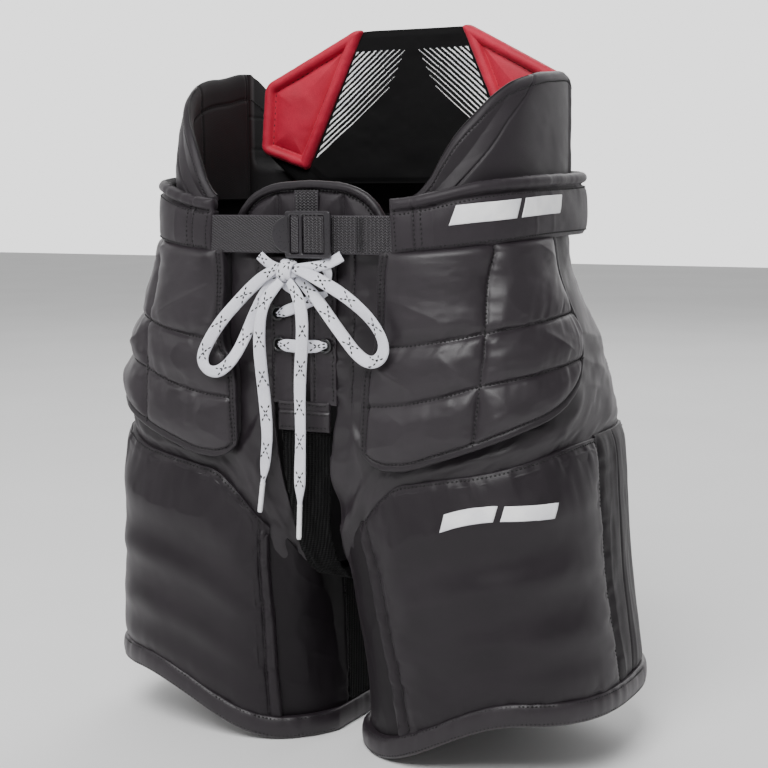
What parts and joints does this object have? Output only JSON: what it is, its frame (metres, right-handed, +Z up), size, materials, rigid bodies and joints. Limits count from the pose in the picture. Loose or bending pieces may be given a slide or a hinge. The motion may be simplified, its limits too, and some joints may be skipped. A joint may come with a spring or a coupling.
{
  "type": "ice hockey goalie pants",
  "caption": "Padded hockey pants with hip and thigh pads, webbing waist belt and buckle, laced fly, side wings and a raised back guard.",
  "frame": {"origin": "centre of the footprint, on the plane that the lowest hem edges rest on", "axes": "+Z up towards the waist, the front of the garment faces -Y, the wearer's left is +X"},
  "size_m": [0.3992, 0.2255, 0.503],
  "materials": {
    "nylon_charcoal": "woven nylon with a soft sheen",
    "binding": "folded nylon binding",
    "foam": "closed-cell foam inside a liner",
    "pe_plate": "moulded sheet",
    "webbing": "woven polypropylene webbing",
    "buckle_plastic": "moulded acetal",
    "lace_white": "flat woven lace with a dark tracer",
    "aglet_film": "clear film over the lace",
    "eyelet_black": "black painted",
    "red_pad": "knit over moulded foam",
    "neoprene_black": "fine jersey-faced neoprene",
    "knit_black": "ribbed stretch knit"
  },
  "bodies": {
    "trunk": {"aglet_left": "aglet_film", "aglet_right": "aglet_film", "belt_foam": "foam", "belt_roll": "binding", "belt_sleeve": "nylon_charcoal", "crotch_gusset": "knit_black", "eyelets": "eyelet_black", "fly_base": "nylon_charcoal", "fly_facing_left": "nylon_charcoal", "fly_facing_right": "nylon_charcoal", "front_shell_left": "nylon_charcoal", "front_shell_right": "nylon_charcoal", "hip_cover_left": "nylon_charcoal", "hip_cover_right": "nylon_charcoal", "hip_crease_left": "nylon_charcoal", "hip_crease_right": "nylon_charcoal", "hip_foam_left": "foam", "hip_foam_right": "foam", "hip_plate_left": "pe_plate", "hip_plate_right": "pe_plate", "lace_crossings": "lace_white", "lace_end_left": "lace_white", "lace_end_right": "lace_white", "lace_knot": "lace_white", "lace_loop_left": "lace_white", "lace_loop_right": "lace_white", "seat_pad_left": "foam", "seat_pad_right": "foam", "seat_shell_left": "nylon_charcoal", "seat_shell_right": "nylon_charcoal", "strap_left": "webbing", "strap_right": "webbing", "tongue_binding": "binding", "tongue_pad": "nylon_charcoal", "tongue_webbing": "webbing"},
    "leg_left": {"hem_band_left": "binding", "inner_panel_left": "knit_black", "rear_panel_left": "nylon_charcoal", "side_panel_left": "nylon_charcoal", "thigh_cover_left": "nylon_charcoal", "thigh_foam_left": "foam", "thigh_plate_left": "pe_plate"},
    "leg_right": {"hem_band_right": "binding", "inner_panel_right": "knit_black", "rear_panel_right": "nylon_charcoal", "side_panel_right": "nylon_charcoal", "thigh_cover_right": "nylon_charcoal", "thigh_foam_right": "foam", "thigh_plate_right": "pe_plate"},
    "back_guard": {"guard_backing": "nylon_charcoal", "guard_face": "neoprene_black", "guard_foam": "foam", "guard_pad_left": "red_pad", "guard_pad_right": "red_pad"},
    "hip_wing_left": {"wing_cover_left": "nylon_charcoal", "wing_foam_left": "foam"},
    "hip_wing_right": {"wing_cover_right": "nylon_charcoal", "wing_foam_right": "foam"},
    "buckle_body": {"buckle": "buckle_plastic", "strap_weave": "webbing"}
  },
  "joints": [
    {"name": "hip_flex_left", "type": "hinge", "parent": "trunk", "child": "leg_left", "pos_m": [0.1, 0, 0.215], "axis": [1, 0, 0], "range_deg": [-12, 8], "deforming": ["hip_crease_left"]},
    {"name": "hip_flex_right", "type": "hinge", "parent": "trunk", "child": "leg_right", "pos_m": [-0.1, 0, 0.215], "axis": [1, 0, 0], "range_deg": [-12, 8], "deforming": ["hip_crease_right"]},
    {"name": "back_guard_tilt", "type": "hinge", "parent": "trunk", "child": "back_guard", "pos_m": [0, 0.076, 0.397], "axis": [1, 0, 0], "range_deg": [-15, 10]},
    {"name": "wing_flex_left", "type": "hinge", "parent": "trunk", "child": "hip_wing_left", "pos_m": [0.103, -0.033, 0.391], "axis": [0.4468, 0.8936, 0.0432], "range_deg": [-6, 10]},
    {"name": "wing_flex_right", "type": "hinge", "parent": "trunk", "child": "hip_wing_right", "pos_m": [-0.103, -0.033, 0.391], "axis": [-0.4468, 0.8936, 0.0432], "range_deg": [-10, 6]},
    {"name": "buckle_lift", "type": "hinge", "parent": "trunk", "child": "buckle_body", "pos_m": [0.024, -0.1042, 0.3567], "axis": [0, 0, 1], "range_deg": [0, 35]}
  ]
}
